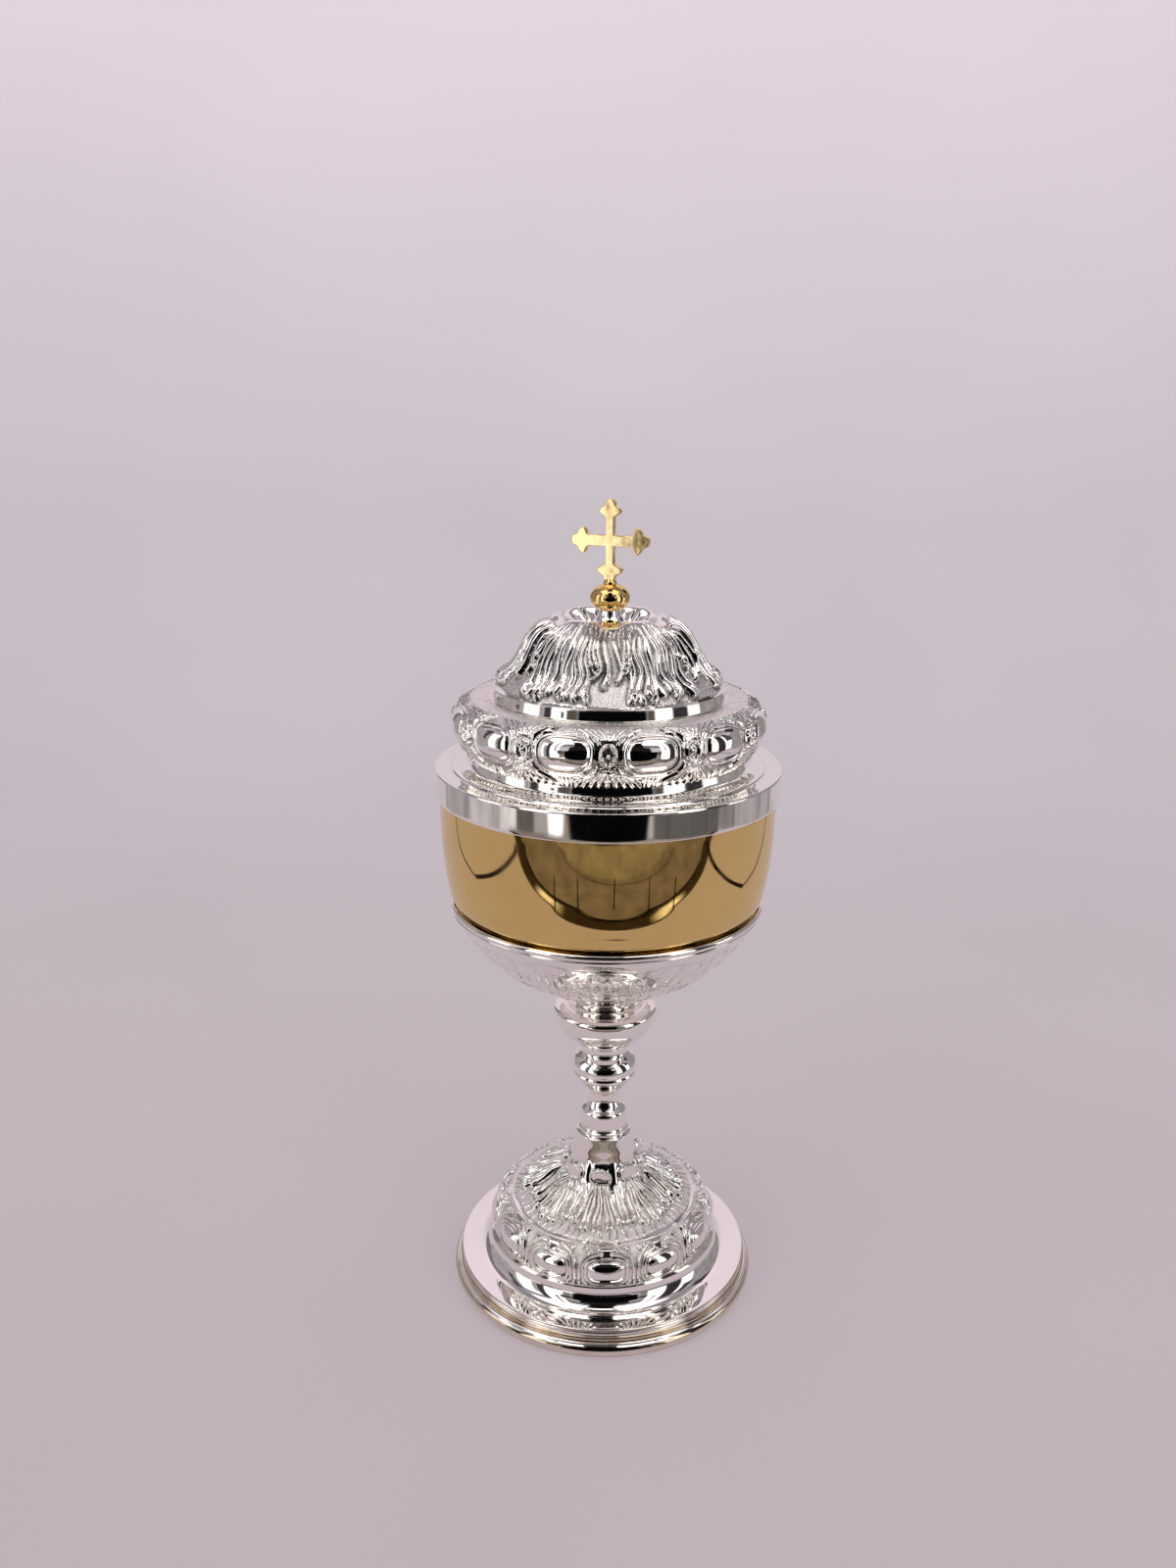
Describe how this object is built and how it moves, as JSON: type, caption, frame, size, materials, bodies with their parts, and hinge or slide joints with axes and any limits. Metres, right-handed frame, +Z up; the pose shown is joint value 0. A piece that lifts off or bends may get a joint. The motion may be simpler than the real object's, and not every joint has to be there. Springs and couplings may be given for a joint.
{
  "type": "covered ciborium",
  "caption": "Covered altar cup: gilt bowl in a silvered leaf calyx on a turned stem and stamped foot, with a domed cabochon lid that lifts off and carries a budded cross.",
  "frame": {"origin": "middle of the foot's underside", "axes": "+Z up the stem to the cross, -Y towards the front of the picture, +X to its right"},
  "size_m": [0.12, 0.12, 0.2914],
  "materials": {
    "silver_plate": "bright polished silver plate over brass",
    "gold_plate": "bright polished gold plate over brass",
    "steel_rod": "plain turned steel"
  },
  "bodies": {
    "base": {"foot_rim": "silver_plate", "foot_base": "silver_plate", "foot_band": "silver_plate", "foot_cone": "silver_plate", "stem_ring": "silver_plate", "stem_collar": "silver_plate", "stem_node": "silver_plate", "stem_knop": "silver_plate", "stem_bead": "silver_plate", "calyx": "silver_plate", "calyx_rim": "silver_plate", "cup_boss": "gold_plate", "cup": "gold_plate", "tie_rod": "steel_rod", "foot_washer": "steel_rod", "foot_nut": "steel_rod"},
    "lid": {"lid_rim": "silver_plate", "lid_band": "silver_plate", "lid_drum": "silver_plate", "lid_dome": "silver_plate", "finial_neck": "silver_plate", "finial_ball": "gold_plate", "finial_stud": "steel_rod", "finial_washer": "steel_rod", "finial_nut": "steel_rod", "cross": "gold_plate"}
  },
  "joints": [
    {"name": "lid_lift", "type": "slide", "parent": "base", "child": "lid", "axis": [0, 0, 1], "range_m": [0, 0.1]}
  ]
}
